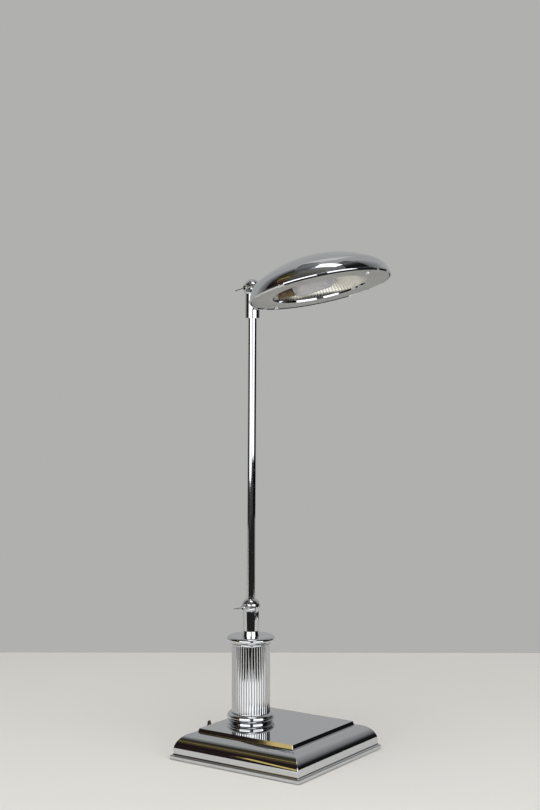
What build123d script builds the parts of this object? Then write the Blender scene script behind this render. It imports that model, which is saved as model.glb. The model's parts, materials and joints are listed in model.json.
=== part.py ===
from build123d import *
import os
from math import atan2, cos, degrees, pi, radians, sin

# Desk lamp, in millimetres and degrees. The origin is the middle of the base, at the level of
# the table. Z is up, and the shade reaches out to the front, along -Y.

# Clearances
seat_gap = 0.03           # round seat around a piece that does not move in it
running_fit = 0.05        # bore over the shaft that turns in it, on the radius
bolt_gap = 0.2            # clearance hole over a tube or screw, on the radius
side_gap = 0.05           # between a tang and the washers beside it
edge_gap = 0.3            # round a cover, nut or knob that lies in a recess
ball_gap = 0.25           # between a collar and the ball that it swings over
lead_gap = 0.5            # round a flexible lead in its tube

# Base: a square casting with a flange, a cove, a fascia and a rounded shoulder
base_side = 162.0
floor_gap = 1.0           # casting above the table, because the felt stands proud
flange_height = 3.5
flange_round = 0.8
cove_width = 1.9
cove_height = 2.4
fascia_height = 2.3
shoulder_width = 18.3
shoulder_height = 18.2
shell_wall = 2.5
plate_inset = 0.2         # plate's edge inside the top of the shoulder
plate_thickness = 3.9
plate_round = 0.4

# Inside the base
felt_thickness = 1.0
cover_thickness = 1.2
ballast_margin = 2.0
ballast_thickness = 14.0
post_inset = 9.4
post_radius = 4.5
cover_screw_radius = 1.5
cover_screw_head = 3.0
cover_screw_length = 11.0

# Cord bush in the back of the fascia
bush_bore = 2.6
bush_wall = 1.0
bush_rim = 0.7
bush_flange = 1.5

# Rotary switch on the back shoulder, to the left
switch_in = 27.0          # spindle in from the left end of the shoulder's top edge
switch_out = 5.0          # spindle behind that edge
switch_boss_wall = 3.0
switch_boss_height = 4.9
switch_length = 18.0
switch_width = 11.0
switch_height = 9.0
switch_thread_wall = 1.5
switch_nut_wall = 1.3
switch_nut_height = 1.7
spindle_radius = 1.5
knob_radius = 2.8
knob_skirt = 1.4
knob_margin = 0.6         # skirt past the ends of the paddle
knob_paddle = 3.0
knob_height = 6.2

# Fluted column
column_back = 33.8        # column's axis behind the middle of the base
sleeve_radius = 20.6
sleeve_wall = 3.6
sleeve_height = 72.2
flute_count = 48
flute_land = 0.5          # flat left between two flutes
flute_depth = 0.75
foot_overhang = 5.1       # foot's bead past the sleeve
foot_bead = 4.2           # radius of the bead's section
foot_step = 1.45          # step under the bead, back from the bead
foot_step_height = 1.3
foot_collar = 0.4
foot_collar_height = 0.3
cap_overhang = 5.3
cap_thickness = 5.0
cap_bead = 2.25
cap_bead_overhang = 1.4
spigot_height = 4.0       # foot and cap reach this far into the sleeve
spigot_wall = 3.0
tie_radius = 5.0
tie_wall = 1.6
tie_tail = 1.0            # tie tube past its nut
tie_washer_radius = 14.0
tie_washer_thickness = 1.5
tie_nut_across = 17.0
tie_nut_height = 5.5

# Neck, on which the arm swivels
neck_radius = 8.2
neck_height = 5.2
neck_flare = 0.8          # wider at its foot
neck_boss_wall = 2.4
neck_boss_height = 3.5
neck_thread = 3.8         # tie tube above the cap, inside the neck
pivot_wall = 2.0
pivot_height = 8.8
pivot_end_gap = 0.2
swivel_screw_radius = 3.0
swivel_screw_bore = 1.4
swivel_screw_depth = 7.0
swivel_head_height = 2.6
stop_pin_radius = 0.8
stop_pin_height = 1.4
stop_pin_depth = 3.0
stop_tooth = 22.0         # angle of the tooth left in the fork's groove

# Knuckles: a fork, a tang between its cheeks and a clamping screw with a cross bar
ball_radius = 9.8
ball_flat = 0.7           # depth of the flats that the screw bears on
lower_barrel_radius = 8.5
upper_barrel_radius = 7.9
slot_room = 1.4           # between the ball and the swivel screw's head
lower_barrel = 12.3       # barrel's length below the slot
upper_barrel = 18.0
tang_thickness = 7.0
friction_thickness = 0.5
friction_radius = 7.5
screw_radius = 2.4
hub_radius = 2.8
hub_length = 5.8
hub_round = 0.9
bar_radius = 0.9
bar_length = 28.0
bar_offset = 3.5          # bar from the ball's flat
bar_tilt = 12.0

# Arm
arm_length = 340.3        # from the lower pivot to the upper one
arm_lean = 0.4            # forward
arm_radius = 4.65
arm_wall = 1.0
arm_plug = 12.0           # length of the plug in the tube, and of the tube in the upper fork
lead_hole = 2.2

# Shade, spun from sheet, in its own frame: the middle of its rim's lowest edge, with Z up its axis
shade_tilt = 14.0
shade_radius = 74.2
shade_height = 36.5
shade_shoulder = 22.5     # radius of the dome's section, from the rim up to its flatter crown
shade_wall = 1.0
rim_bead = 1.1
stem_angle = 40.3         # stem to the rim's plane, square to the dome's shoulder
stem_length = 17.3        # from the upper pivot to the dome
stem_radius = 3.4
stem_flange_radius = 6.0
stem_flange = 2.0
stem_washer = 1.5
stem_nut_across = 10.0
stem_nut_height = 3.5
stem_tail = 1.0           # stem past its nut

# Face ring and reflector
ring_gap = 0.7            # dark line between the ring and the shade
ring_recess = 0.8         # face of the ring above the rim's plane
ring_thickness = 1.0
ring_width = 22.5         # from the ring's edge to its opening
lip_wall = 0.9
lip_height = 2.8
reflector_gap = 0.2
reflector_depth = 28.0
reflector_shoulder = 18.0
reflector_wall = 0.8
reflector_flange = 5.5
clip_count = 3
clip_angle = 30.0         # first clip, turned from the right
clip_width = 8.0
clip_foot = 5.0
clip_tongue = 3.0
clip_thickness = 0.8
face_screw_inset = 7.3
face_screw_angle = -9.5   # line of the two screws, turned from front to back
face_screw_radius = 1.25
face_screw_head = 2.4
face_screw_head_height = 1.6
face_screw_depth = 6.0
face_post_radius = 3.0

# Lampholder and bulb, lying from back to front
holder_height = 12.0      # their axis above the rim's plane
holder_wall = 2.0
holder_length = 22.5
holder_floor = 6.0
bracket_thickness = 1.2
bracket_width = 13.0
bracket_foot = 9.0
bulb_cap_radius = 5.9
bulb_cap_length = 14.0
bulb_neck = 3.0
bulb_shoulder = 6.0
bulb_radius = 11.5
bulb_length = 52.0        # glass, from the cap to the tip

# Base levels and places
base_half = base_side / 2
flange_top = floor_gap + flange_height
flange_edge = base_half - flange_round
cove_top = flange_top + cove_height
fascia_half = flange_edge - cove_width
fascia_top = cove_top + fascia_height
shoulder_half = fascia_half - shoulder_width
shell_top = fascia_top + shoulder_height
ceiling = shell_top - shell_wall
cavity_half = fascia_half - shell_wall
plate_half = shoulder_half - plate_inset
plate_top = shell_top + plate_thickness
cover_top = felt_thickness + cover_thickness
cover_half = cavity_half - edge_gap
post_place = cavity_half - post_inset
ballast_half = shoulder_half - ballast_margin
ballast_bottom = ceiling - ballast_thickness
bush_radius = bush_bore + bush_wall
bush_flange_radius = bush_radius + bush_rim
switch_thread = spindle_radius + switch_thread_wall
switch_nut_radius = switch_thread + switch_nut_wall
switch_top = ceiling - switch_boss_height
knob_bottom = ceiling + switch_nut_height + edge_gap

# Column levels and radii
sleeve_bore = sleeve_radius - sleeve_wall
foot_radius = sleeve_radius + foot_overhang
foot_step_top = plate_top + foot_step_height
foot_bead_top = foot_step_top + 2 * foot_bead
foot_top = foot_bead_top + foot_collar_height
sleeve_top = foot_top + sleeve_height
cap_bead_top = sleeve_top + 2 * cap_bead
cap_top = cap_bead_top + cap_thickness
tie_hole = tie_radius + bolt_gap
tie_bore = tie_radius - tie_wall
tie_top = cap_top + neck_thread
tie_nut_top = ballast_bottom - tie_washer_thickness
tie_bottom = tie_nut_top - tie_nut_height - tie_tail
neck_boss = tie_radius + neck_boss_wall
neck_boss_bottom = cap_top - neck_boss_height
neck_top = cap_top + neck_height
pivot_radius = swivel_screw_radius + pivot_wall
pivot_top = neck_top + pivot_height
swivel_screw_bottom = pivot_top - swivel_screw_depth

# Knuckles, each about its own pivot, and the places of the two pivots
slot_half = tang_thickness / 2 + side_gap + friction_thickness
slot_depth = ball_radius + slot_room + swivel_head_height
cheek_half = ball_radius - ball_flat
stop_circle = (pivot_radius + lower_barrel_radius) / 2
collar_start = ball_radius + ball_gap
collar_end = collar_start + ball_gap
arm_bore = arm_radius - arm_wall
lower_pivot = neck_top + lower_barrel + slot_depth
arm_top = arm_length - slot_depth - upper_barrel + arm_plug
wide = 4 * (slot_depth + upper_barrel)    # more than a whole knuckle, for cuts that go right through

# Shade: the upper pivot stands stem_length out from the dome, square to its shoulder
stem_reach = shade_shoulder + stem_length
pivot_y = shade_radius - shade_shoulder + stem_reach * cos(radians(stem_angle))
pivot_z = stem_reach * sin(radians(stem_angle))
stem_inside = stem_length + shade_wall
stem_nut_start = stem_inside + stem_washer
stem_end = stem_nut_start + stem_nut_height + stem_tail
ring_radius = shade_radius - shade_wall - ring_gap
ring_back = ring_recess + ring_thickness
opening_radius = ring_radius - ring_width
lip_radius = opening_radius + lip_wall
reflector_radius = lip_radius + reflector_gap
reflector_outer = reflector_radius + reflector_wall
reflector_edge = reflector_outer + reflector_flange
face_screw_circle = ring_radius - face_screw_inset
holder_bore = bulb_cap_radius + edge_gap
holder_radius = holder_bore + holder_wall
holder_back = reflector_outer + 2 * edge_gap
cap_end = holder_back - holder_floor

quarter_turn = 90
on_column = Pos(0, column_back, 0)
at_lower_pivot = Pos(0, column_back, lower_pivot)
on_arm = at_lower_pivot * Rot(arm_lean, 0, 0)
at_upper_pivot = on_arm * Pos(0, 0, arm_length)
on_shade = at_upper_pivot * Rot(-arm_lean - shade_tilt, 0, 0) * Pos(0, -pivot_y, -pivot_z)
along_stem = on_shade * Pos(0, pivot_y, pivot_z) * Rot(quarter_turn + stem_angle, 0, 0)
along_holder = on_shade * Pos(0, 0, holder_height) * Rot(-90, 0, 0)
at_switch = Pos(switch_in - shoulder_half, shoulder_half + switch_out, 0)
at_bush = Pos(0, fascia_half, (cove_top + fascia_top) / 2) * Rot(-90, 0, 0)
to_right = Rot(0, 90, 0)
to_left = Rot(0, -90, 0)
standing = (Align.CENTER, Align.CENTER, Align.MIN)


def rod(radius, bottom, top):
    """Upright round bar between two heights."""
    return Pos(0, 0, bottom) * Cylinder(radius, top - bottom, align=standing)


def tube(radius, bore, bottom, top):
    """Upright round tube between two heights."""
    return rod(radius, bottom, top) - rod(bore, bottom, top)


def slab(half, bottom, top):
    """Flat square plate between two heights."""
    return Pos(0, 0, bottom) * Box(2 * half, 2 * half, top - bottom, align=standing)


def hexagon_nut(across, bore, bottom, top):
    """Nut between two heights."""
    blank = RegularPolygon(across / 2, 6, major_radius=False) - Circle(bore)
    return Pos(0, 0, bottom) * extrude(blank, top - bottom)


def square_moulding(half_outline):
    """Square block whose four sides carry one outline, mitred at the corners."""
    outline = half_outline + mirror(half_outline, about=Plane.YZ)
    bar = extrude(Plane.XZ * outline, base_side, both=True)
    return bar & (Rot(0, 0, 90) * bar)


def shouldered_block(half, bottom, width, height):
    """Square block with straight sides up to the fascia's top and an elliptical shoulder above."""
    crown = fascia_top + height
    sides = Polyline((0, crown), (0, bottom), (half, bottom), (half, fascia_top))
    shoulder = EllipticalCenterArc((half - width, fascia_top), width, height, arc_size=quarter_turn)
    top = Line((half - width, crown), (0, crown))
    return square_moulding(make_face([sides, shoulder, top]))


def flange_block():
    """Bottom flange with its rounded edge, and the cove that runs up to the fascia."""
    round_start = flange_top - flange_round
    sides = Polyline((0, cove_top), (0, floor_gap), (base_half, floor_gap), (base_half, round_start))
    rounding = CenterArc((flange_edge, round_start), flange_round, 0, quarter_turn)
    cove = EllipticalCenterArc((flange_edge, cove_top), cove_width, cove_height, 180, arc_size=quarter_turn)
    top = Line((fascia_half, cove_top), (0, cove_top))
    return square_moulding(make_face([sides, rounding, cove, top]))


def at_posts(piece):
    """One copy of a piece at each of the four cover posts."""
    return [Pos(x * post_place, y * post_place, 0) * piece for x in (-1, 1) for y in (-1, 1)]


def base_shell():
    """Hollow casting with cover posts, a switch boss and the holes that go through it."""
    outside = shouldered_block(fascia_half, floor_gap, shoulder_width, shoulder_height) + flange_block()
    shell = outside - shouldered_block(cavity_half, floor_gap, shoulder_width - shell_wall,
                                       shoulder_height - shell_wall)
    for post in at_posts(rod(post_radius, cover_top, shell_top)):
        shell += post & outside
    shell += (at_switch * rod(switch_thread + switch_boss_wall, switch_top, shell_top)) & outside
    for hole in at_posts(rod(cover_screw_radius + seat_gap, cover_top, cover_top + cover_screw_length)):
        shell -= hole
    shell -= at_switch * rod(switch_nut_radius + edge_gap, ceiling, plate_top)
    shell -= at_switch * rod(switch_thread + seat_gap, switch_top, plate_top)
    shell -= on_column * rod(tie_hole, floor_gap, plate_top)
    shell -= at_bush * rod(bush_radius + seat_gap, -2 * shell_wall, shell_wall)
    for inner, outer in ((0, 2 * cove_width), (-2 * shell_wall, -shell_wall)):
        shell -= at_bush * rod(bush_flange_radius + edge_gap, inner, outer)
    return shell


def top_plate():
    """Raised flat plate that the column stands on."""
    plate = slab(plate_half, shell_top, plate_top)
    plate = fillet(plate.edges().group_by(Axis.Z)[-1], plate_round)
    return plate - on_column * rod(tie_hole, shell_top, plate_top)


def ballast_weight():
    """Cast slab under the roof of the base."""
    return slab(ballast_half, ballast_bottom, ceiling) - on_column * rod(tie_hole, ballast_bottom, ceiling)


def cover_screw(gap):
    """Countersunk screw, larger all round by gap."""
    head = Cone(cover_screw_head + gap, cover_screw_radius + gap, cover_thickness, align=standing)
    shank = rod(cover_screw_radius + gap, felt_thickness, felt_thickness + cover_screw_length)
    return Pos(0, 0, felt_thickness) * head + shank


def bottom_cover():
    """Sheet cover with four countersunk holes."""
    cover = slab(cover_half, felt_thickness, cover_top)
    for hole in at_posts(cover_screw(seat_gap)):
        cover -= hole
    return cover


def felt_pad():
    """Felt under the cover, which the lamp stands on."""
    return slab(cover_half, 0, felt_thickness)


def cord_bush():
    """Rubber bush with an open bore: a flange outside the fascia and a lip behind the wall."""
    back = -shell_wall - bush_flange
    bush = rod(bush_flange_radius, 0, bush_flange) + rod(bush_radius, back, 0)
    bush += rod(bush_flange_radius, back, -shell_wall - seat_gap)
    return at_bush * (bush - rod(bush_bore, back, bush_flange))


def switch_body():
    """Moulded switch under its boss, with the threaded bush that comes up through the shell."""
    bottom = switch_top - switch_height
    body = Pos(0, 0, bottom) * Box(switch_length, switch_width, switch_height, align=standing)
    body += rod(switch_thread, switch_top, ceiling + switch_nut_height)
    return at_switch * (body - rod(spindle_radius + running_fit, bottom + switch_height / 2, shell_top))


def switch_nut():
    """Round nut that holds the switch."""
    return at_switch * tube(switch_nut_radius, switch_thread + seat_gap, ceiling, ceiling + switch_nut_height)


def switch_spindle():
    """Spindle from the middle of the switch up into its knob."""
    bottom = switch_top - switch_height / 2 + side_gap
    return at_switch * rod(spindle_radius, bottom, knob_bottom + knob_height / 2)


def switch_knob():
    """Turn knob: a round skirt with a tapered paddle on it."""
    skirt_top = knob_bottom + knob_skirt
    foot = Pos(0, 0, skirt_top) * Rectangle(2 * (knob_radius - knob_margin), knob_paddle)
    tip = Pos(0, 0, knob_bottom + knob_height) * Rectangle(knob_radius, knob_paddle / 2)
    knob = rod(knob_radius, knob_bottom, skirt_top) + loft([foot, tip])
    return at_switch * (knob - rod(spindle_radius + seat_gap, knob_bottom, knob_bottom + knob_height / 2))


def ring(radius, section, bottom):
    """Round-edged disc: a bead of the given section outside a plain middle."""
    middle = radius - section
    bead = Pos(0, 0, bottom + section) * Torus(middle, section)
    return rod(middle, bottom, bottom + 2 * section) + bead


def column_foot():
    """Turned foot: a step, a bead and a short collar, with a spigot inside the sleeve."""
    foot = rod(foot_radius - foot_step, plate_top, foot_step_top)
    foot += ring(foot_radius, foot_bead, foot_step_top)
    foot += rod(sleeve_radius + foot_collar, foot_bead_top, foot_top)
    foot += rod(sleeve_bore - seat_gap, foot_top, foot_top + spigot_height)
    foot -= rod(sleeve_bore - spigot_wall, foot_bead_top, foot_top + spigot_height)
    return on_column * (foot - rod(tie_hole, plate_top, foot_top))


def column_sleeve():
    """Fluted tube: concave flutes from end to end."""
    chord = 2 * pi * sleeve_radius / flute_count - flute_land
    cutter = (chord ** 2 / 4 + flute_depth ** 2) / (2 * flute_depth)
    flutes = PolarLocations(sleeve_radius + cutter - flute_depth, flute_count) * Circle(cutter)
    section = Circle(sleeve_radius) - flutes - Circle(sleeve_bore)
    return on_column * Pos(0, 0, foot_top) * extrude(section, sleeve_height)


def column_cap():
    """Turned cap: a bead over the sleeve and a round-edged disc, with a recess for the neck."""
    cap = ring(sleeve_radius + cap_bead_overhang, cap_bead, sleeve_top)
    cap += ring(sleeve_radius + cap_overhang, cap_thickness / 2, cap_bead_top)
    cap += rod(sleeve_bore - seat_gap, sleeve_top - spigot_height, sleeve_top)
    cap -= rod(sleeve_bore - spigot_wall, sleeve_top - spigot_height, sleeve_top)
    cap -= rod(neck_boss + seat_gap, neck_boss_bottom, cap_top)
    return on_column * (cap - rod(tie_hole, sleeve_top, cap_top))


def tie_tube():
    """Threaded tube that draws the base, column and neck together."""
    return on_column * tube(tie_radius, tie_bore, tie_bottom, tie_top)


def tie_washer():
    """Plain washer under the ballast."""
    return on_column * tube(tie_washer_radius, tie_hole, tie_nut_top, ballast_bottom)


def tie_nut():
    """Hexagon nut near the bottom of the tie tube."""
    bottom = tie_nut_top - tie_nut_height
    return on_column * hexagon_nut(tie_nut_across, tie_radius + seat_gap, bottom, tie_nut_top)


def column_lead():
    """Flexible lead inside the tie tube."""
    return on_column * rod(tie_bore - lead_gap, tie_bottom, tie_top)


def neck():
    """Turned neck: a slight cone, a boss let into the cap and the spigot that the arm swivels on."""
    body = Pos(0, 0, cap_top) * Cone(neck_radius + neck_flare, neck_radius, neck_height, align=standing)
    body += rod(neck_boss, neck_boss_bottom, cap_top)
    body += rod(pivot_radius, neck_top, pivot_top)
    body -= rod(tie_radius + seat_gap, neck_boss_bottom, tie_top)
    body -= rod(swivel_screw_radius + seat_gap, tie_top, pivot_top)
    body -= Pos(0, stop_circle, 0) * rod(stop_pin_radius + seat_gap, neck_top - stop_pin_depth, neck_top)
    return on_column * body


def stop_pin():
    """Pin in the neck that stops the swivel short of a full turn."""
    return on_column * Pos(0, stop_circle, 0) * rod(stop_pin_radius, neck_top - stop_pin_depth,
                                                    neck_top + stop_pin_height)


def swivel_screw():
    """Hollow screw that keeps the fork on the neck and lets the lead through."""
    seat = neck_top + lower_barrel + running_fit
    top = seat + swivel_head_height
    screw = rod(slot_half - edge_gap, seat, top) + rod(swivel_screw_radius, swivel_screw_bottom, seat)
    return on_column * (screw - rod(swivel_screw_bore, swivel_screw_bottom, top))


def ball(radius):
    """Ball with its poles on the screw's axis, where the flats and the bore cut them away."""
    return to_right * Sphere(radius)


def screw_bore():
    """Running bore for a clamping screw, across a knuckle."""
    return to_right * rod(screw_radius + running_fit, -ball_radius, ball_radius)


def fork(barrel_radius, barrel):
    """Fork about its pivot: a round barrel below, two cheeks that make up a ball, and the slot."""
    body = rod(barrel_radius, -slot_depth - barrel, 0) + ball(ball_radius)
    body &= Box(2 * cheek_half, wide, wide)
    body -= Pos(0, 0, -slot_depth) * Box(2 * slot_half, wide, wide, align=standing)
    return body - screw_bore()


def lower_fork():
    """Fork that swivels on the neck, with the groove that the stop pin runs in."""
    bottom = -slot_depth - lower_barrel
    bore_top = bottom + pivot_height + pivot_end_gap
    reach = stop_pin_radius + edge_gap
    groove = tube(stop_circle + reach, stop_circle - reach, bottom, bottom + stop_pin_height + edge_gap)
    far = Vector(wide, 0)
    wedge = make_face(Polyline((0, 0), far, far.rotate(Axis.Z, stop_tooth), close=True))
    groove -= Pos(0, 0, bottom) * Rot(0, 0, -90 - stop_tooth / 2) * extrude(wedge, lower_barrel)
    body = fork(lower_barrel_radius, lower_barrel) - groove
    body -= rod(pivot_radius + running_fit, bottom, bore_top)
    return at_lower_pivot * (body - rod(swivel_screw_radius + running_fit, bottom, -slot_depth))


def upper_fork():
    """Fork at the top of the arm, with a socket for the tube and a hole for the lead."""
    bottom = -slot_depth - upper_barrel
    body = fork(upper_barrel_radius, upper_barrel) - rod(arm_radius + seat_gap, bottom, bottom + arm_plug)
    return at_upper_pivot * (body - rod(lead_hole, bottom, -slot_depth))


def tang():
    """Slice of the ball that turns between the cheeks."""
    return ball(ball_radius) & Box(tang_thickness, wide, wide)


def lower_tang():
    """Tang with the collar that the arm stands on and the plug inside its tube."""
    collar = rod(arm_radius, 0, collar_end)
    body = tang() + (collar & Box(tang_thickness, wide, wide)) + (collar - ball(collar_start))
    body += rod(arm_bore - seat_gap, collar_start, collar_end + arm_plug)
    return on_arm * (body - screw_bore())


def upper_tang():
    """Tang with the stem that carries the shade: a flange shaped to the dome, and a tail inside it."""
    flange = along_stem * rod(stem_flange_radius, stem_length - stem_flange, stem_inside)
    flange -= on_shade * shade_outside(seat_gap)
    return along_stem * (tang() + rod(stem_radius, 0, stem_end) - screw_bore()) + flange


def friction_washers():
    """Fibre washers against the two cheeks of a fork."""
    washer = tube(friction_radius, screw_radius + bolt_gap, slot_half - friction_thickness, slot_half)
    return [to_right * washer, to_left * washer]


def across_hub(piece):
    """Lays an upright piece across the screw's hub, with its front end up."""
    return to_left * Pos(0, 0, cheek_half + bar_offset) * Rot(0, 0, bar_tilt) * Rot(90, 0, 0) * piece


def clamp_screw():
    """Clamping screw: a plain shank through the knuckle and a hub outside, drilled for its bar."""
    hub_start = cheek_half + running_fit
    hub = rod(hub_radius, hub_start, hub_start + hub_length)
    hub = fillet(hub.edges().group_by(Axis.Z)[-1], hub_round)
    screw = to_left * (rod(screw_radius, -cheek_half, hub_start) + hub)
    return screw - across_hub(Cylinder(bar_radius + seat_gap, 4 * hub_radius))


def clamp_bar():
    """Cross bar with rounded ends."""
    end = bar_length / 2 - bar_radius
    bar = rod(bar_radius, -end, end)
    for place in (-end, end):
        bar += Pos(0, 0, place) * Sphere(bar_radius)
    return across_hub(bar)


def arm_tube():
    """Straight tube from the collar of the lower tang into the upper fork."""
    return on_arm * tube(arm_radius, arm_bore, collar_end, arm_top)


def arm_lead():
    """Flexible lead inside the arm, from the tang's plug to the upper fork."""
    return on_arm * rod(arm_bore - lead_gap, collar_end + arm_plug, arm_top)


def half_dome(radius, height, shoulder):
    """Solid dome on the rim's plane: a shoulder of the given radius that runs into a flatter crown."""
    inset = radius - shoulder
    crown = (inset ** 2 + height ** 2 - shoulder ** 2) / (2 * (height - shoulder))
    join = degrees(atan2(crown - height, inset))
    sides = [
        Line((0, 0), (radius, 0)),
        CenterArc((inset, 0), shoulder, 0, join),
        CenterArc((0, height - crown), crown, join, quarter_turn - join),
        Line((0, height), (0, 0)),
    ]
    return revolve(Plane.XZ * make_face(sides), Axis.Z)


def shade_outside(gap=0.0):
    """Dome's outer form, larger all round by gap."""
    return half_dome(shade_radius + gap, shade_height + gap, shade_shoulder + gap)


def shade_inside(gap=0.0):
    """Space under the dome, smaller all round by gap."""
    return shade_outside(-shade_wall - gap)


def shade_shell():
    """Spun dome with a rolled bead round its rim and a hole for the stem."""
    shell = shade_outside() - shade_inside()
    shell += Pos(0, 0, rim_bead) * Torus(shade_radius - shade_wall / 2, rim_bead)
    return on_shade * shell - along_stem * rod(stem_radius + seat_gap, ball_radius, stem_end)


def saddle_washer():
    """Washer inside the dome, shaped to it on one side and flat for the nut on the other."""
    blank = along_stem * tube(stem_flange_radius, stem_radius + seat_gap, stem_length, stem_nut_start)
    return blank & (on_shade * shade_inside(seat_gap))


def stem_nut():
    """Nut on the stem's tail."""
    return along_stem * hexagon_nut(stem_nut_across, stem_radius + seat_gap, stem_nut_start,
                                    stem_nut_start + stem_nut_height)


def at_face_screws(piece):
    """One copy of a piece at each of the two screws of the face ring."""
    turns = (face_screw_angle, face_screw_angle + 180)
    return [Rot(0, 0, turn) * Pos(0, face_screw_circle, 0) * piece for turn in turns]


def face_ring():
    """Flat ring under the shade, with a lip turned up round its opening."""
    plate = tube(ring_radius, opening_radius, ring_recess, ring_back)
    plate += tube(lip_radius, opening_radius, ring_recess, ring_recess + lip_height)
    for hole in at_face_screws(rod(face_screw_radius + bolt_gap, ring_recess, ring_back)):
        plate -= hole
    return on_shade * plate


def face_posts():
    """Posts inside the dome that the ring's screws go into."""
    blank = rod(face_post_radius, ring_back, shade_height)
    blank -= rod(face_screw_radius + seat_gap, ring_back, ring_back + face_screw_depth)
    return [on_shade * (post & shade_inside(seat_gap)) for post in at_face_screws(blank)]


def face_screws():
    """Round-headed screws in the face of the ring."""
    head = rod(face_screw_head, ring_recess - face_screw_head_height, ring_recess)
    head = fillet(head.edges().group_by(Axis.Z)[0], face_screw_head_height / 2)
    screw = head + rod(face_screw_radius, ring_recess, ring_recess + face_screw_depth)
    return [on_shade * placed for placed in at_face_screws(screw)]


def reflector():
    """Spun bowl with a flange on the back of the ring, open at the back for the lampholder."""
    bowl = half_dome(reflector_outer, reflector_depth + reflector_wall, reflector_shoulder + reflector_wall)
    bowl -= half_dome(reflector_radius, reflector_depth, reflector_shoulder)
    bowl += tube(reflector_edge, reflector_radius + reflector_wall / 2, 0, reflector_wall)
    notch_start = reflector_outer + edge_gap
    notch = Box(bracket_width + 2 * edge_gap, wide, 4 * reflector_wall)
    bowl -= Pos(0, notch_start + wide / 2, 0) * notch
    bowl = Pos(0, 0, ring_back) * bowl
    return on_shade * bowl - along_holder * rod(holder_radius + edge_gap, 0, ring_radius)


def reflector_clips():
    """Spring clips on the back of the ring that hold the reflector's flange down."""
    foot_start = reflector_edge + edge_gap
    foot = Pos(foot_start, 0, ring_back) * Box(clip_foot, clip_width, reflector_wall,
                                               align=(Align.MIN, Align.CENTER, Align.MIN))
    tongue = Pos(reflector_edge - clip_tongue, 0, ring_back + reflector_wall) * Box(
        clip_tongue + edge_gap + clip_foot, clip_width, clip_thickness,
        align=(Align.MIN, Align.CENTER, Align.MIN))
    turns = [clip_angle + clip * 360 / clip_count for clip in range(clip_count)]
    return [on_shade * Rot(0, 0, turn) * (foot + tongue) for turn in turns]


def holder_bracket():
    """Angle bracket on the back of the ring, behind the lampholder."""
    upright_height = holder_height + holder_radius - ring_back
    low = (Align.CENTER, Align.MIN, Align.MIN)
    upright = Box(bracket_width, bracket_thickness, upright_height, align=low)
    foot = Box(bracket_width, bracket_foot, bracket_thickness, align=low)
    return on_shade * Pos(0, holder_back, ring_back) * (upright + foot)


def lampholder():
    """Moulded cup that the bulb screws into."""
    front = holder_back - holder_length
    return along_holder * (rod(holder_radius, front, holder_back) - rod(holder_bore, front, cap_end))


def bulb_cap():
    """Brass cap of the bulb, against the floor of the lampholder."""
    return along_holder * rod(bulb_cap_radius, cap_end - bulb_cap_length, cap_end)


def bulb_glass():
    """Tubular glass: a neck at the cap, a shoulder and a round end."""
    start = cap_end - bulb_cap_length
    shoulder = start - bulb_neck - bulb_shoulder
    end = start - bulb_length + bulb_radius
    glass_neck = bulb_cap_radius - edge_gap
    glass = rod(glass_neck, start - bulb_neck, start)
    glass += Pos(0, 0, shoulder) * Cone(bulb_radius, glass_neck, bulb_shoulder, align=standing)
    glass += rod(bulb_radius, end, shoulder) + Pos(0, 0, end) * Sphere(bulb_radius)
    return along_holder * glass


# Every node, with the one solid or the group of solids that it holds
nodes = {
    "base_shell": base_shell(),
    "top_plate": top_plate(),
    "ballast_weight": ballast_weight(),
    "bottom_cover": bottom_cover(),
    "cover_screws": at_posts(cover_screw(0)),
    "felt_pad": felt_pad(),
    "cord_bush": cord_bush(),
    "switch_body": switch_body(),
    "switch_nut": switch_nut(),
    "switch_spindle": switch_spindle(),
    "switch_knob": switch_knob(),
    "column_foot": column_foot(),
    "column_sleeve": column_sleeve(),
    "column_cap": column_cap(),
    "tie_tube": tie_tube(),
    "tie_washer": tie_washer(),
    "tie_nut": tie_nut(),
    "column_lead": column_lead(),
    "neck": neck(),
    "stop_pin": stop_pin(),
    "swivel_screw": swivel_screw(),
    "lower_fork": lower_fork(),
    "lower_friction_washers": [at_lower_pivot * washer for washer in friction_washers()],
    "lower_clamp_screw": at_lower_pivot * clamp_screw(),
    "lower_clamp_bar": at_lower_pivot * clamp_bar(),
    "lower_tang": lower_tang(),
    "arm_tube": arm_tube(),
    "arm_lead": arm_lead(),
    "upper_fork": upper_fork(),
    "upper_friction_washers": [at_upper_pivot * washer for washer in friction_washers()],
    "upper_clamp_screw": at_upper_pivot * clamp_screw(),
    "upper_clamp_bar": at_upper_pivot * clamp_bar(),
    "upper_tang": upper_tang(),
    "saddle_washer": saddle_washer(),
    "stem_nut": stem_nut(),
    "shade_shell": shade_shell(),
    "face_ring": face_ring(),
    "face_posts": face_posts(),
    "face_screws": face_screws(),
    "reflector": reflector(),
    "reflector_clips": reflector_clips(),
    "holder_bracket": holder_bracket(),
    "lampholder": lampholder(),
    "bulb_cap": bulb_cap(),
    "bulb_glass": bulb_glass(),
}

os.makedirs("parts", exist_ok=True)
for name, shape in nodes.items():
    solids = Compound(children=shape) if isinstance(shape, list) else shape
    export_step(solids, f"parts/{name}.step")
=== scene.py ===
import json
from math import atan2, cos, degrees, pi, radians, sin, sqrt, tan

import bmesh
import bpy
from mathutils import Matrix, Vector


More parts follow.
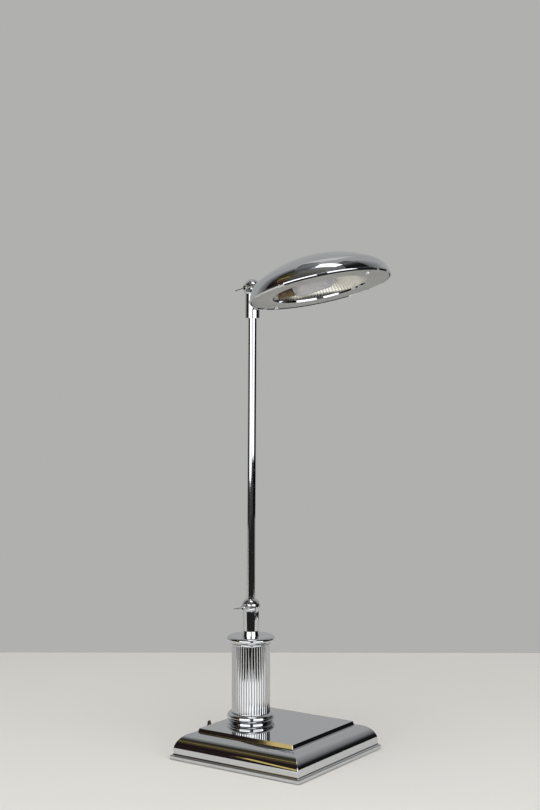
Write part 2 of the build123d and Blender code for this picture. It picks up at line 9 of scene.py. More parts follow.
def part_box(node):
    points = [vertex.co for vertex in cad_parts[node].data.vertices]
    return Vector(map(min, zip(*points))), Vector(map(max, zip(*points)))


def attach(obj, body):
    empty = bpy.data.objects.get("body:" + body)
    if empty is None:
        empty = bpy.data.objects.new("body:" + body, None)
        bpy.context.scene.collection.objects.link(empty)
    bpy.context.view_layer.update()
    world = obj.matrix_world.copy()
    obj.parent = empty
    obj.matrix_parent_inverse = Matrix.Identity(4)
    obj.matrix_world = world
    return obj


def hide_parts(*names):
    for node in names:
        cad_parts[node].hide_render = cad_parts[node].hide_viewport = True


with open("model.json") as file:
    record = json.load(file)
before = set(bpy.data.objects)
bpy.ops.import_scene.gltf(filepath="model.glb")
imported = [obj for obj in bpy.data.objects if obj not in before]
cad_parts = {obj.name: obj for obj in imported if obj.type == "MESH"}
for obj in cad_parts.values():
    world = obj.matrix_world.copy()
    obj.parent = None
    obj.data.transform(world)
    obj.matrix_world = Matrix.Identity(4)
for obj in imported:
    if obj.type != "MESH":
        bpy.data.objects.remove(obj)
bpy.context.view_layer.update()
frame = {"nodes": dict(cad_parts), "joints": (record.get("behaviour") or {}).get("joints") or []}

# Camera: it stands a little below the shade's height, out in front of the lamp's left side,
# so that the front corner of the base points to the lower right.
mm = 0.001
camera_place = Vector((-1206.35, -820.19, 405.08)) * mm
camera_pitch = radians(88.65)
camera_heading = radians(-55.5)
lens_length = 61.42

bpy.ops.object.select_all(action="DESELECT")
bpy.ops.object.camera_add(location=camera_place, rotation=(camera_pitch, 0, camera_heading))
camera = bpy.context.object
camera.data.lens = lens_length
bpy.context.scene.camera = camera
bpy.context.scene.view_settings.view_transform = "Standard"


# Base: a square casting with a flange, a cove, a fascia and a rounded shoulder, ground, polished
# and chromium plated. Its four sides carry one moulding that meets in mitres at the corners.
base_low, base_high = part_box("base_shell")
plate_low, plate_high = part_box("top_plate")
bush_low, bush_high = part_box("cord_bush")
nut_low, nut_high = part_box("switch_nut")
flange_height = 3.5 * mm
flange_round = 0.8 * mm
cove_width = 1.9 * mm
cove_height = 2.4 * mm
fascia_height = 2.3 * mm
shell_wall = 2.5 * mm
plate_reveal = 0.2 * mm
hole_gap = 0.3 * mm
base_mitre = 0.6 * mm
merge_below = 0.005 * mm
smooth_below = radians(25)


def linear(hex_colour):
    """sRGB hex colour as linear red, green, blue and alpha."""
    shares = [int(hex_colour[place:place + 2], 16) / 255 for place in (1, 3, 5)]
    return [s / 12.92 if s <= 0.04045 else ((s + 0.055) / 1.055) ** 2.4 for s in shares] + [1]


def add_node(tree, kind, links=(), **settings):
    """Adds a node, sets its options and sockets by name, and links (socket, source) pairs into it."""
    node = tree.nodes.new(kind)
    for name, value in settings.items():
        socket = name.replace("_", " ").title()
        if hasattr(node, name):
            setattr(node, name, value)
        else:
            node.inputs[socket].default_value = value
    for socket, source in links:
        tree.links.new(source, node.inputs[socket])
    return node


def new_material(name):
    """Empty node material with its Principled shader."""
    material = bpy.data.materials.new(name)
    material.use_nodes = True
    tree = material.node_tree
    return material, tree, tree.nodes["Principled BSDF"]


def mottled(name, dark, light, patch, roughness, grain, relief, metallic=0):
    """Material whose colour drifts between two tones over patches, with a fine grain; sizes in mm."""
    material, tree, shader = new_material(name)
    shader.inputs["Metallic"].default_value = metallic
    place = add_node(tree, "ShaderNodeTexCoord").outputs["Object"]
    patches = add_node(tree, "ShaderNodeTexNoise", [("Vector", place)], scale=1000 / patch, detail=4)
    tones = add_node(tree, "ShaderNodeValToRGB", [("Fac", patches.outputs["Fac"])])
    tones.color_ramp.elements[0].position = 0.3
    tones.color_ramp.elements[0].color = linear(dark)
    tones.color_ramp.elements[1].position = 0.7
    tones.color_ramp.elements[1].color = linear(light)
    tree.links.new(tones.outputs["Color"], shader.inputs["Base Color"])
    fine = add_node(tree, "ShaderNodeTexNoise", [("Vector", place)], scale=1000 / grain, detail=3)
    dull = add_node(tree, "ShaderNodeMapRange", [("Value", fine.outputs["Fac"])],
                    from_min=0.3, from_max=0.7, to_min=roughness[0], to_max=roughness[1])
    tree.links.new(dull.outputs["Result"], shader.inputs["Roughness"])
    bump = add_node(tree, "ShaderNodeBump", [("Height", fine.outputs["Fac"])],
                    strength=relief, distance=grain * mm)
    tree.links.new(bump.outputs["Normal"], shader.inputs["Normal"])
    return material, tree, shader


def polished_chrome():
    """Bright chromium plate over a buffed casting: a cool mirror with a faint haze left by the mop."""
    haze_patch = 14
    buffing_line = 0.6
    buffing_depth = 0.1 * mm
    material, tree, shader = new_material("polished_chrome")
    shader.inputs["Base Color"].default_value = linear("#d5d7da")
    shader.inputs["Metallic"].default_value = 1
    place = add_node(tree, "ShaderNodeTexCoord").outputs["Object"]
    patches = add_node(tree, "ShaderNodeTexNoise", [("Vector", place)], scale=1000 / haze_patch, detail=3)
    haze = add_node(tree, "ShaderNodeMapRange", [("Value", patches.outputs["Fac"])],
                    from_min=0.35, from_max=0.75, to_min=0.025, to_max=0.065)
    tree.links.new(haze.outputs["Result"], shader.inputs["Roughness"])
    lines = add_node(tree, "ShaderNodeTexNoise", [("Vector", place)], scale=1000 / buffing_line, detail=2)
    relief = add_node(tree, "ShaderNodeBump", [("Height", lines.outputs["Fac"])],
                      strength=0.012, distance=buffing_depth)
    tree.links.new(relief.outputs["Normal"], shader.inputs["Normal"])
    return material


chrome = polished_chrome()


def begin(name, add_primitive, **sizes):
    """Starts a piece from a primitive, with nothing else selected, in edit mode."""
    bpy.ops.object.select_all(action="DESELECT")
    add_primitive(**sizes)
    piece = bpy.context.object
    piece.name = name
    piece.data.name = name
    bpy.ops.object.mode_set(mode="EDIT")
    bpy.ops.mesh.select_all(action="SELECT")
    return piece


def arc(across, up, radius, first, last, steps, flatten=1.0):
    """Points of an outline on an arc about a centre, in degrees from the outward side."""
    turns = [radians(first + (last - first) * step / steps) for step in range(steps + 1)]
    return [(across + radius * cos(turn), up + flatten * radius * sin(turn)) for turn in turns]


def raise_rings(outline, centre=(0, 0)):
    """Extrudes what is selected along an outline of (half width, height) points, ring by ring."""
    for (width, height), (next_width, next_height) in zip(outline, outline[1:]):
        bpy.ops.mesh.extrude_region_move(TRANSFORM_OT_translate={"value": (0, 0, next_height - height)})
        share = next_width / width
        bpy.ops.transform.resize(value=(share, share, 1), center_override=(*centre, next_height))


def clean_up():
    """Merges doubles, turns the faces outwards, leaves edit mode and puts the piece's place in its mesh."""
    bpy.ops.mesh.select_all(action="SELECT")
    bpy.ops.mesh.remove_doubles(threshold=merge_below)
    bpy.ops.mesh.normals_make_consistent(inside=False)
    bpy.ops.object.mode_set(mode="OBJECT")
    bpy.ops.object.transform_apply(location=True, rotation=True, scale=True)


def square_block(name, outline, mitre_round=0.0):
    """Square piece about the middle of the base: four sides of one outline, their mitres rounded or not."""
    width, height = outline[0]
    block = begin(name, bpy.ops.mesh.primitive_plane_add, size=2 * width, location=(0, 0, height))
    raise_rings(outline)
    if mitre_round:
        bpy.ops.mesh.select_all(action="SELECT")
        bpy.ops.mesh.remove_doubles(threshold=2 * merge_below)
        shape = bmesh.from_edit_mesh(block.data)
        for edge in shape.edges:
            low, high = (vertex.co for vertex in edge.verts)
            edge.select_set(low.x * high.x > 0 and low.y * high.y > 0)
        bmesh.update_edit_mesh(block.data)
        bpy.ops.mesh.bevel(offset=mitre_round, segments=4, affect="EDGES", clamp_overlap=True)
    clean_up()
    return block


def turned(name, outline, sides=96, closed=False):
    """Turned piece about the upright axis: from a filled disc up to a filled end, or closed on itself."""
    radius, height = outline[0]
    fill = "NOTHING" if closed else "NGON"
    blank = begin(name, bpy.ops.mesh.primitive_circle_add, vertices=sides, radius=radius,
                  location=(0, 0, height), fill_type=fill)
    raise_rings(outline + outline[:1] if closed else outline)
    clean_up()
    return blank


def pick(piece):
    """Selects one piece alone and makes it active."""
    bpy.ops.object.select_all(action="DESELECT")
    piece.select_set(True)
    bpy.context.view_layer.objects.active = piece


def put(piece, place, turn=(0, 0, 0)):
    """Turns a finished mesh about the origin, moves it to its place and applies both."""
    pick(piece)
    piece.rotation_euler = turn
    piece.location = place
    bpy.ops.object.transform_apply(location=True, rotation=True, scale=True)
    return piece


def apply_boolean(piece, tool, operation):
    """Cuts a piece with a tool or joins the tool to it, deletes the tool and merges slivers away."""
    modifier = piece.modifiers.new(operation.title(), "BOOLEAN")
    modifier.operation = operation
    modifier.solver = "EXACT"
    modifier.object = tool
    pick(piece)
    bpy.ops.object.modifier_apply(modifier=modifier.name)
    bpy.data.objects.remove(tool)
    bpy.ops.object.mode_set(mode="EDIT")
    bpy.ops.mesh.select_all(action="SELECT")
    bpy.ops.mesh.remove_doubles(threshold=merge_below)
    bpy.ops.mesh.dissolve_degenerate(threshold=merge_below)
    bpy.ops.object.mode_set(mode="OBJECT")


def soften(piece, width, segments=4, angle=40):
    """Breaks the sharp edges of a piece with a small bevel."""
    modifier = piece.modifiers.new("Broken edges", "BEVEL")
    modifier.width = width
    modifier.segments = segments
    modifier.limit_method = "ANGLE"
    modifier.angle_limit = radians(angle)
    modifier.use_clamp_overlap = True
    pick(piece)
    bpy.ops.object.modifier_apply(modifier=modifier.name)


def finish(piece, material, body, slot, *replaced):
    """Shades a piece smooth between its sharp edges, with flat faces kept flat, and sets it on its body."""
    pick(piece)
    bpy.ops.object.shade_smooth_by_angle(angle=smooth_below)
    modifier = piece.modifiers.new("Flat faces", "WEIGHTED_NORMAL")
    modifier.keep_sharp = True
    bpy.ops.object.modifier_apply(modifier=modifier.name)
    piece.data.materials.clear()
    piece.data.materials.append(material)
    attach(piece, body)
    if replaced:
        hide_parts(*replaced)
    return piece


base_half = base_high.x
flange_top = base_low.z + flange_height
flange_edge = base_half - flange_round
cove_top = flange_top + cove_height
fascia_half = flange_edge - cove_width
fascia_top = cove_top + fascia_height
shoulder_half = plate_high.x + plate_reveal
shoulder_width = fascia_half - shoulder_half
shoulder_height = base_high.z - fascia_top
cavity_half = fascia_half - shell_wall
ceiling = base_high.z - shell_wall
moulding = [(shoulder_half - shell_wall, ceiling), (cavity_half, fascia_top), (cavity_half, base_low.z)]
moulding += [(base_half, base_low.z)]
moulding += arc(flange_edge, flange_top - flange_round, flange_round, 0, 90, 8)
moulding += arc(flange_edge, cove_top, cove_width, 270, 180, 16, cove_height / cove_width)
moulding += arc(fascia_half - shoulder_width, fascia_top, shoulder_width, 0, 90, 40,
                shoulder_height / shoulder_width)
base = square_block("base", moulding, base_mitre)

switch_place = Vector(((nut_low.x + nut_high.x) / 2, (nut_low.y + nut_high.y) / 2, 0))
recess_radius = (nut_high.x - nut_low.x) / 2 + hole_gap
recess = turned("recess", [(recess_radius, nut_low.z), (recess_radius, plate_high.z)], 48)
apply_boolean(base, put(recess, switch_place), "DIFFERENCE")
bush_radius = (bush_high.x - bush_low.x) / 2
bush_place = Vector((0, fascia_half, (bush_low.z + bush_high.z) / 2))
through = bush_radius - 2 * hole_gap
seat = bush_radius + hole_gap
hole_outline = [(through, -2 * shell_wall), (through, 0), (seat, 0), (seat, 2 * shell_wall)]
bush_hole = turned("bush_hole", hole_outline, 48)
apply_boolean(base, put(bush_hole, bush_place, (radians(-90), 0, 0)), "DIFFERENCE")
finish(base, chrome, "base", "polished_chrome", "base_shell")


# Top plate: a flat plate with a sloping edge, polished and plated, that stands on the casting and
# carries the column. Its top is the flattest mirror on the lamp.
plate_round = 0.05 * mm
plate_mitre = 0.4 * mm
plate_slope = radians(15)
flat_hold = 0.3 * mm
plate_draft = tan(plate_slope) * (plate_high.z - plate_low.z)
plate_half = plate_high.x - plate_draft
plate_outline = [(plate_high.x, plate_low.z)]
plate_outline += arc(plate_half - plate_round, plate_high.z - plate_round, plate_round,
                     degrees(plate_slope), 90, 5)
plate_outline += [(plate_half - plate_round - flat_hold, plate_high.z)]
plate = square_block("plate", plate_outline, plate_mitre)
finish(plate, chrome, "base", "polished_chrome", "top_plate")


# Underside: a zinc-plated steel cover, held to posts in the casting by four countersunk screws, and a
# green felt pad glued over it, which the lamp stands on. A cast iron slab above it keeps the lamp steady.
felt_low, felt_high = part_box("felt_pad")
felt_edge = 0.3 * mm
# Felt: matt green fibres, with a soft sheen from the nap
felt, _, felt_shader = mottled("green_wool_felt", "#2b4a35", "#3c6147", 3, (0.9, 1.0), 0.5, 0.8)
felt_shader.inputs["Sheen Weight"].default_value = 0.4
# Zinc: a dull, slightly warm grey mirror in faint patches
zinc = mottled("zinc_plated_steel", "#a9a8a0", "#c3c2bb", 6, (0.32, 0.5), 0.8, 0.1, metallic=1)[0]
# Screw steel: a clean grey mirror, a little clouded
steel = mottled("bright_screw_steel", "#c2c2c0", "#d6d6d4", 4, (0.12, 0.25), 0.3, 0.05, metallic=1)[0]
# Cast iron: the rough skin of a sand casting under thin dark paint
cast_iron = mottled("painted_cast_iron", "#2a2b2c", "#3a3b3c", 9, (0.5, 0.7), 1.2, 0.5)[0]
felt_outline = [(felt_high.x - felt_edge, felt_low.z), (felt_high.x, felt_low.z + felt_edge),
                (felt_high.x, felt_high.z - felt_edge), (felt_high.x - felt_edge, felt_high.z)]
finish(square_block("felt", felt_outline), felt, "base", "green_felt", "felt_pad")


def dress(material, *names):
    """Gives CAD nodes that stay a better material."""
    for name in names:
        frame["nodes"][name].material_slots[0].material = material


dress(zinc, "bottom_cover", "tie_washer", "holder_bracket")
dress(steel, "cover_screws", "tie_nut", "stop_pin", "swivel_screw", "stem_nut", "saddle_washer",
      "reflector_clips")
dress(cast_iron, "ballast_weight")


# Cord bush: a moulded rubber bush in the back of the fascia, snapped into its hole. A round flange
# shows outside, and its bore is open.
bush_bore = 2.6 * mm
bush_neck = 3.6 * mm
bush_flange = 1.5 * mm
bush_round = 0.6 * mm
# Rubber: near black, with a soft low gloss
rubber = mottled("black_moulded_rubber", "#161616", "#222221", 2, (0.55, 0.75), 0.4, 0.15)[0]
bush_back = -shell_wall - bush_flange
bush_outline = [(bush_bore, bush_back), (bush_radius, bush_back), (bush_radius, -shell_wall)]
bush_outline += [(bush_neck, -shell_wall), (bush_neck, 0), (bush_radius, 0)]
bush_outline += arc(bush_radius - bush_round, bush_flange - bush_round, bush_round, 0, 90, 4)
bush_outline += arc(bush_bore + bush_round, bush_flange - bush_round, bush_round, 90, 180, 4)
bush = put(turned("bush", bush_outline, 48, closed=True), bush_place, (radians(-90), 0, 0))
finish(bush, rubber, "base", "black_rubber", "cord_bush")


# Switch: a small rotary switch under the back shoulder, held by a round nut in a recess. Its black
# moulded knob has a round skirt and a tapered paddle to turn it by.
knob_low, knob_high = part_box("switch_knob")
knob_skirt = 1.4 * mm
knob_margin = 0.6 * mm
knob_paddle = 3.0 * mm
paddle_taper = 0.5
knob_edge = 0.25 * mm
nut_bore = 3.05 * mm
turned_edge = 0.3 * mm
# Black phenolic: near black, with the gloss of its mould
phenolic = mottled("black_phenolic", "#131313", "#1d1c1b", 2, (0.25, 0.4), 0.5, 0.05)[0]
# Brass: warm yellow metal, left as it was turned
brass = mottled("plain_brass", "#b08d43", "#c6a45a", 4, (0.22, 0.38), 0.5, 0.08, metallic=1)[0]
nut_radius = recess_radius - hole_gap
nut_outline = [(nut_bore, nut_low.z), (nut_radius, nut_low.z), (nut_radius, nut_high.z - turned_edge),
               (nut_radius - turned_edge, nut_high.z), (nut_bore, nut_high.z)]
round_nut = put(turned("round_nut", nut_outline, 48, closed=True), switch_place)
finish(round_nut, steel, "base", "bright_steel", "switch_nut")


def box_tool(name, low, high):
    """Square-cornered block between two corners, to cut or to trim with."""
    block = begin(name, bpy.ops.mesh.primitive_cube_add, size=1, location=(low + high) / 2)
    bpy.ops.transform.resize(value=high - low)
    clean_up()
    return block


knob_radius = knob_high.x - switch_place.x
skirt_top = knob_low.z + knob_skirt
skirt_outline = [(knob_radius - knob_edge, knob_low.z), (knob_radius, knob_low.z + knob_edge)]
skirt_outline += arc(knob_radius - 2 * knob_edge, skirt_top - 2 * knob_edge, 2 * knob_edge, 0, 90, 4)
knob = turned("knob", skirt_outline, 48)
paddle = box_tool("paddle", Vector((knob_margin - knob_radius, -knob_paddle / 2, skirt_top - knob_skirt / 2)),
                  Vector((knob_radius - knob_margin, knob_paddle / 2, knob_high.z)))
bpy.ops.object.mode_set(mode="EDIT")
paddle_mesh = bmesh.from_edit_mesh(paddle.data)
for face in paddle_mesh.faces:
    face.select = face.normal.z > 0.9
paddle_mesh.select_flush_mode()
paddle_mesh.select_flush(True)
bmesh.update_edit_mesh(paddle.data)
tip_share = knob_radius / 2 / (knob_radius - knob_margin)
bpy.ops.transform.resize(value=(tip_share, paddle_taper, 1), center_override=(0, 0, knob_high.z))
bpy.ops.object.mode_set(mode="OBJECT")
apply_boolean(knob, paddle, "UNION")
soften(knob, knob_edge)
finish(put(knob, switch_place), phenolic, "switch", "black_phenolic", "switch_knob")
dress(phenolic, "switch_body")
dress(brass, "switch_spindle", "tie_tube", "bulb_cap")


# Column: a turned foot with a bead, a fluted tube and a turned cap. The foot and the cap reach a
# little way into the tube, and one threaded tube inside draws all three onto the base.
foot_low, foot_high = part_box("column_foot")
sleeve_low, sleeve_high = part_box("column_sleeve")
cap_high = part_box("column_cap")[1]
column_place = Vector((0, (sleeve_low.y + sleeve_high.y) / 2, 0))
sleeve_radius = sleeve_high.x
foot_radius = foot_high.x
foot_bead = 4.2 * mm
foot_step = 1.45 * mm
foot_step_height = 1.3 * mm
foot_collar = 0.4 * mm
step_radius = foot_radius - foot_step
bead_bottom = foot_low.z + foot_step_height
bead_middle = foot_radius - foot_bead
foot_outline = [(step_radius, foot_low.z)]
foot_outline += arc(step_radius - turned_edge, bead_bottom - turned_edge, turned_edge, 0, 90, 6)
foot_outline += arc(bead_middle, bead_bottom + foot_bead, foot_bead, -80, 90, 32)
foot_outline += [(sleeve_radius + foot_collar, bead_bottom + 2 * foot_bead),
                 (sleeve_radius + foot_collar, sleeve_low.z)]
foot = put(turned("foot", foot_outline, 128), column_place)
finish(foot, chrome, "base", "polished_chrome", "column_foot")

flute_count = 48
points_per_flute = 12
flute_land = 0.5 * mm
flute_depth = 0.34 * mm
flute_pitch = 2 * pi * sleeve_radius / flute_count
half_flute = (flute_pitch - flute_land) / 2
cutter = (half_flute ** 2 + flute_depth ** 2) / (2 * flute_depth)
sleeve = begin("sleeve", bpy.ops.mesh.primitive_circle_add, vertices=flute_count * points_per_flute,
               radius=sleeve_radius, location=(0, 0, sleeve_low.z), fill_type="NGON")
for point in range(points_per_flute):
    across = flute_pitch * (point / points_per_flute - 0.5)
    if abs(across) < half_flute:
        depth = sqrt(cutter ** 2 - across ** 2) - cutter + flute_depth
        share = 1 - depth / sleeve_radius
        mesh = bmesh.from_edit_mesh(sleeve.data)
        for vertex in mesh.verts:
            vertex.select = vertex.index % points_per_flute == point
        mesh.select_flush_mode()
        bmesh.update_edit_mesh(sleeve.data)
        bpy.ops.transform.resize(value=(share, share, 1), center_override=(0, 0, 0))
bpy.ops.mesh.select_all(action="SELECT")
bpy.ops.mesh.extrude_region_move(TRANSFORM_OT_translate={"value": (0, 0, sleeve_high.z - sleeve_low.z)})
clean_up()
# Painted shade: a dull dark metal on the lands paints the shade of the grooves as a fine line between the
# flutes
groove_shade = mottled("tarnish_between_flutes", "#1f1e1c", "#34322e", 1.5, (0.45, 0.6), 0.3, 0.05, metallic=1)[0]
lands = []
for face in sleeve.data.polygons:
    reach = min(Vector(sleeve.data.vertices[corner].co[:2]).length for corner in face.vertices)
    lands.append(int(reach > sleeve_radius - 2 * merge_below))
finish(put(sleeve, column_place), chrome, "base", "polished_chrome", "column_sleeve")
# The lands take the dark painted shade
sleeve.data.materials.append(groove_shade)
sleeve.data.polygons.foreach_set("material_index", lands)

cap_bead = 1.5 * mm
cap_bead_overhang = 1.4 * mm
cap_radius = cap_high.x
disc_bottom = sleeve_high.z + 2 * cap_bead
disc_round = (cap_high.z - disc_bottom) / 2
cap_bead_middle = sleeve_radius + cap_bead_overhang - cap_bead
cap_outline = arc(cap_bead_middle, sleeve_high.z + cap_bead, cap_bead, -90, 90, 20)
cap_outline += arc(cap_radius - disc_round, disc_bottom + disc_round, disc_round, -90, 90, 28)
cap_outline += [(cap_radius - disc_round - flat_hold, cap_high.z)]
cap = put(turned("cap", cap_outline, 128), column_place)
finish(cap, chrome, "base", "polished_chrome", "column_cap")


# Lower knuckle: a short cone on the cap, and on it a fork whose cheeks make up a ball. The arm's
# tang turns between the cheeks, and a screw with a hub and a cross bar clamps them.
joints = {joint["name"]: joint for joint in frame["joints"]}
lower_pivot = Vector(joints["arm_tilt"]["pos_m"])
upper_pivot = Vector(joints["shade_tilt"]["pos_m"])
neck_top = joints["arm_swivel"]["pos_m"][2]
neck_radius = 8.2 * mm
neck_flare = 0.8 * mm
ball_radius = 9.8 * mm
lower_barrel = 8.5 * mm
upper_barrel = 7.9 * mm
slot_half = 4.05 * mm
tang_half = 3.4 * mm
slot_depth = 13.8 * mm
cheek_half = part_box("lower_fork")[1].x
edge_break = 0.35 * mm

neck_outline = [(neck_radius + neck_flare, cap_high.z),
                (neck_radius + turned_edge / 2, neck_top - turned_edge),
                (neck_radius - turned_edge, neck_top)]
neck = put(turned("neck_cone", neck_outline, 96), column_place)
finish(neck, chrome, "base", "polished_chrome", "neck")


def trim_sides(piece, half):
    """Cuts a piece flat at both sides and closes the cuts."""
    pick(piece)
    bpy.ops.object.mode_set(mode="EDIT")
    for side in (-1, 1):
        bpy.ops.mesh.select_all(action="SELECT")
        bpy.ops.mesh.bisect(plane_co=(side * half, 0, 0), plane_no=(side, 0, 0),
                            use_fill=True, clear_outer=True)
    clean_up()


def clamp_fork(name, barrel_radius, barrel_end):
    """Fork about its pivot: a round barrel, two cheeks that make up a ball, flat sides and the slot."""
    meeting = degrees(atan2(-sqrt(ball_radius ** 2 - barrel_radius ** 2), barrel_radius))
    outline = [(barrel_radius - turned_edge, barrel_end), (barrel_radius, barrel_end + turned_edge)]
    outline += arc(0, 0, ball_radius, meeting, 88, 40)
    fork = turned(name, outline, 96)
    trim_sides(fork, cheek_half)
    slot = box_tool("slot", Vector((-slot_half, -2 * ball_radius, -slot_depth)),
                    Vector((slot_half, 2 * ball_radius, 2 * ball_radius)))
    apply_boolean(fork, slot, "DIFFERENCE")
    soften(fork, edge_break)
    return fork


def ball_tang(name):
    """Slice of the ball that turns between the cheeks."""
    tang = turned(name, arc(0, 0, ball_radius, -89, 89, 64), 96)
    trim_sides(tang, tang_half)
    return tang


hub_radius = 2.8 * mm
hub_length = 5.8 * mm
hub_round = 0.9 * mm
bar_radius = 0.9 * mm
bar_length = 28.0 * mm
bar_offset = 3.5 * mm
bar_tilt = radians(12)
hub_gap = 0.05 * mm
dimple = 0.5 * mm


def clamp_hub(name, place):
    """Head of the clamping screw, outside the left cheek, with a rounded end."""
    hub_start = cheek_half + hub_gap
    hub_end = hub_start + hub_length
    outline = [(hub_radius - turned_edge, hub_start), (hub_radius, hub_start + turned_edge)]
    outline += arc(hub_radius - hub_round, hub_end - hub_round, hub_round, 0, 90, 8)
    outline += [(hub_radius - hub_round - dimple, hub_end), (dimple, hub_end - dimple / 2)]
    return put(turned(name, outline, 48), place, (0, radians(-90), 0))


def cross_bar(name, place):
    """Bar across the hub, with rounded ends, its front end up."""
    end = bar_length / 2 - bar_radius
    outline = arc(0, -end, bar_radius, -85, 0, 8) + arc(0, end, bar_radius, 0, 85, 8)
    middle = place - Vector((cheek_half + bar_offset, 0, 0))
    return put(turned(name, outline, 32), middle, (radians(90) - bar_tilt, 0, 0))


lower_fork = put(clamp_fork("lower_cheeks", lower_barrel, neck_top - lower_pivot.z), lower_pivot)
finish(lower_fork, chrome, "swivel", "polished_chrome", "lower_fork")
finish(clamp_hub("lower_hub", lower_pivot), chrome, "lower_clamp", "polished_chrome", "lower_clamp_screw")
finish(cross_bar("lower_cross_bar", lower_pivot), chrome, "lower_clamp", "polished_chrome", "lower_clamp_bar")


# Inside the knuckles, column and arm: red fibre washers beside each tang, and the cotton-covered leads.
# Only the washers' edges show.
# Vulcanised fibre: a dull dark red
fibre = mottled("red_vulcanised_fibre", "#6e2a20", "#8a3a2c", 2, (0.5, 0.7), 0.4, 0.1)[0]
# Cotton covering: dark and matt, with a woven grain
covering = mottled("dark_lead_covering", "#2b2420", "#3a312b", 3, (0.6, 0.8), 0.5, 0.2)[0]
dress(fibre, "lower_friction_washers", "upper_friction_washers")
dress(covering, "column_lead", "arm_lead")


# Arm: a drawn steel tube, polished and plated. It stands on a collar of the lower tang, which plugs
# into it, and goes into a socket in the upper fork.
arm_radius = 4.65 * mm
arm_direction = (upper_pivot - lower_pivot).normalized()
arm_length = (upper_pivot - lower_pivot).length
arm_turn = (atan2(-arm_direction.y, arm_direction.z), 0, 0)
collar_bottom = 9.1 * mm
collar_top = 10.3 * mm
socket_end = slot_depth + 18.0 * mm
socket_overlap = 2.0 * mm
lower_tang = ball_tang("lower_tang_ball")
collar = turned("collar", [(arm_radius, collar_bottom), (arm_radius, collar_top)], 64)
apply_boolean(lower_tang, collar, "UNION")
soften(lower_tang, edge_break / 2)
finish(put(lower_tang, lower_pivot, arm_turn), chrome, "arm", "polished_chrome", "lower_tang")

tube_outline = [(arm_radius - turned_edge, collar_top), (arm_radius, collar_top + turned_edge)]
tube_outline += [(arm_radius, arm_length - socket_end + socket_overlap)]
arm_tube = put(turned("arm_rod", tube_outline, 64), lower_pivot, arm_turn)
finish(arm_tube, chrome, "arm", "polished_chrome", "arm_tube")


# Upper knuckle: the same fork and clamp at the top of the arm. Its tang carries a stem with a
# flange that is drawn up against the dome by a nut inside.
shade_turn = radians(-14)
stem_angle = radians(40.3)
stem_length = 17.3 * mm
stem_radius = 3.3 * mm
stem_flange_radius = 6.0 * mm
stem_flange = 2.0 * mm
stem_turn = (radians(90) + stem_angle + shade_turn, 0, 0)
upper_fork = put(clamp_fork("upper_cheeks", upper_barrel, -socket_end), upper_pivot, arm_turn)
finish(upper_fork, chrome, "arm", "polished_chrome", "upper_fork")
finish(clamp_hub("upper_hub", upper_pivot), chrome, "upper_clamp", "polished_chrome", "upper_clamp_screw")
finish(cross_bar("upper_cross_bar", upper_pivot), chrome, "upper_clamp", "polished_chrome", "upper_clamp_bar")

flange_start = stem_length - stem_flange
stem_outline = [(stem_radius, ball_radius / 2), (stem_radius, flange_start),
                (stem_flange_radius - turned_edge, flange_start),
                (stem_flange_radius, flange_start + turned_edge), (stem_flange_radius, stem_length)]
upper_tang = ball_tang("upper_tang_stem")
apply_boolean(upper_tang, turned("stem", stem_outline, 64), "UNION")
finish(put(upper_tang, upper_pivot, stem_turn), chrome, "shade", "polished_chrome", "upper_tang")


# Shade: a shallow dome spun from sheet brass, with a narrow chamfered band at its rim, polished and
# plated. The flange of the stem is drawn up against it near the back.
shade_radius = 74.2 * mm
shade_height = 36.5 * mm
shade_shoulder = 22.5 * mm
shade_wall = 1.0 * mm
rim_band = 0.6 * mm
rim_top = 2.8 * mm
rim_undercut = 1.6 * mm
rim_taper = 0.08 * mm
rim_round = 0.3 * mm
rim_inside = 1.1 * mm
rim_angle = 7.2
inside_angle = 5.5
stem_reach = shade_shoulder + stem_length
pivot_on_shade = Vector((0, shade_radius - shade_shoulder + stem_reach * cos(stem_angle),
                         stem_reach * sin(stem_angle)))
shade_matrix = Matrix.Rotation(shade_turn, 3, "X")
rim_centre = upper_pivot - shade_matrix @ pivot_on_shade
shade_tilt = (shade_turn, 0, 0)


def dome(radius, height, shoulder, rim_angle):
    """Section of a spun dome from its middle out to its rim: a flat crown that runs into a round shoulder."""
    crown = ((radius - shoulder) ** 2 + height ** 2 - shoulder ** 2) / (2 * (height - shoulder))
    meeting = degrees(atan2(crown - height, radius - shoulder))
    flat = arc(0, height - crown, crown, 89.8, meeting, 32)
    return flat + arc(radius - shoulder, 0, shoulder, meeting, rim_angle, 40)[1:]


band_radius = shade_radius + rim_band
shade_outline = dome(shade_radius, shade_height, shade_shoulder, rim_angle)
shade_outline += arc(band_radius - rim_round, rim_top - rim_round, rim_round, 80, 0, 5)
shade_outline += [(band_radius - rim_taper, rim_undercut)]
shade_outline += arc(shade_radius - shade_wall / 2, rim_round / 2, rim_round / 2, -30, -150, 5)
shade_outline += [(shade_radius - rim_inside, shade_wall)]
shade_outline += dome(shade_radius - shade_wall, shade_height - shade_wall, shade_shoulder - shade_wall,
                      inside_angle)[::-1]
shade = put(turned("dome", shade_outline, 192), rim_centre, shade_tilt)
finish(shade, chrome, "shade", "polished_chrome", "shade_shell")


# Face ring: a flat ring of satin-plated sheet inside the rim, with a bright lip turned up round its
# opening. Two round-headed screws hold it to posts inside the dome.
ring_radius = 72.5 * mm
opening_radius = 50.0 * mm
ring_recess = 0.8 * mm
ring_thickness = 1.0 * mm
lip_wall = 0.9 * mm
lip_height = 2.0 * mm
lip_round = 0.2 * mm
lip_taper = 0.32 * mm
ring_back = ring_recess + ring_thickness
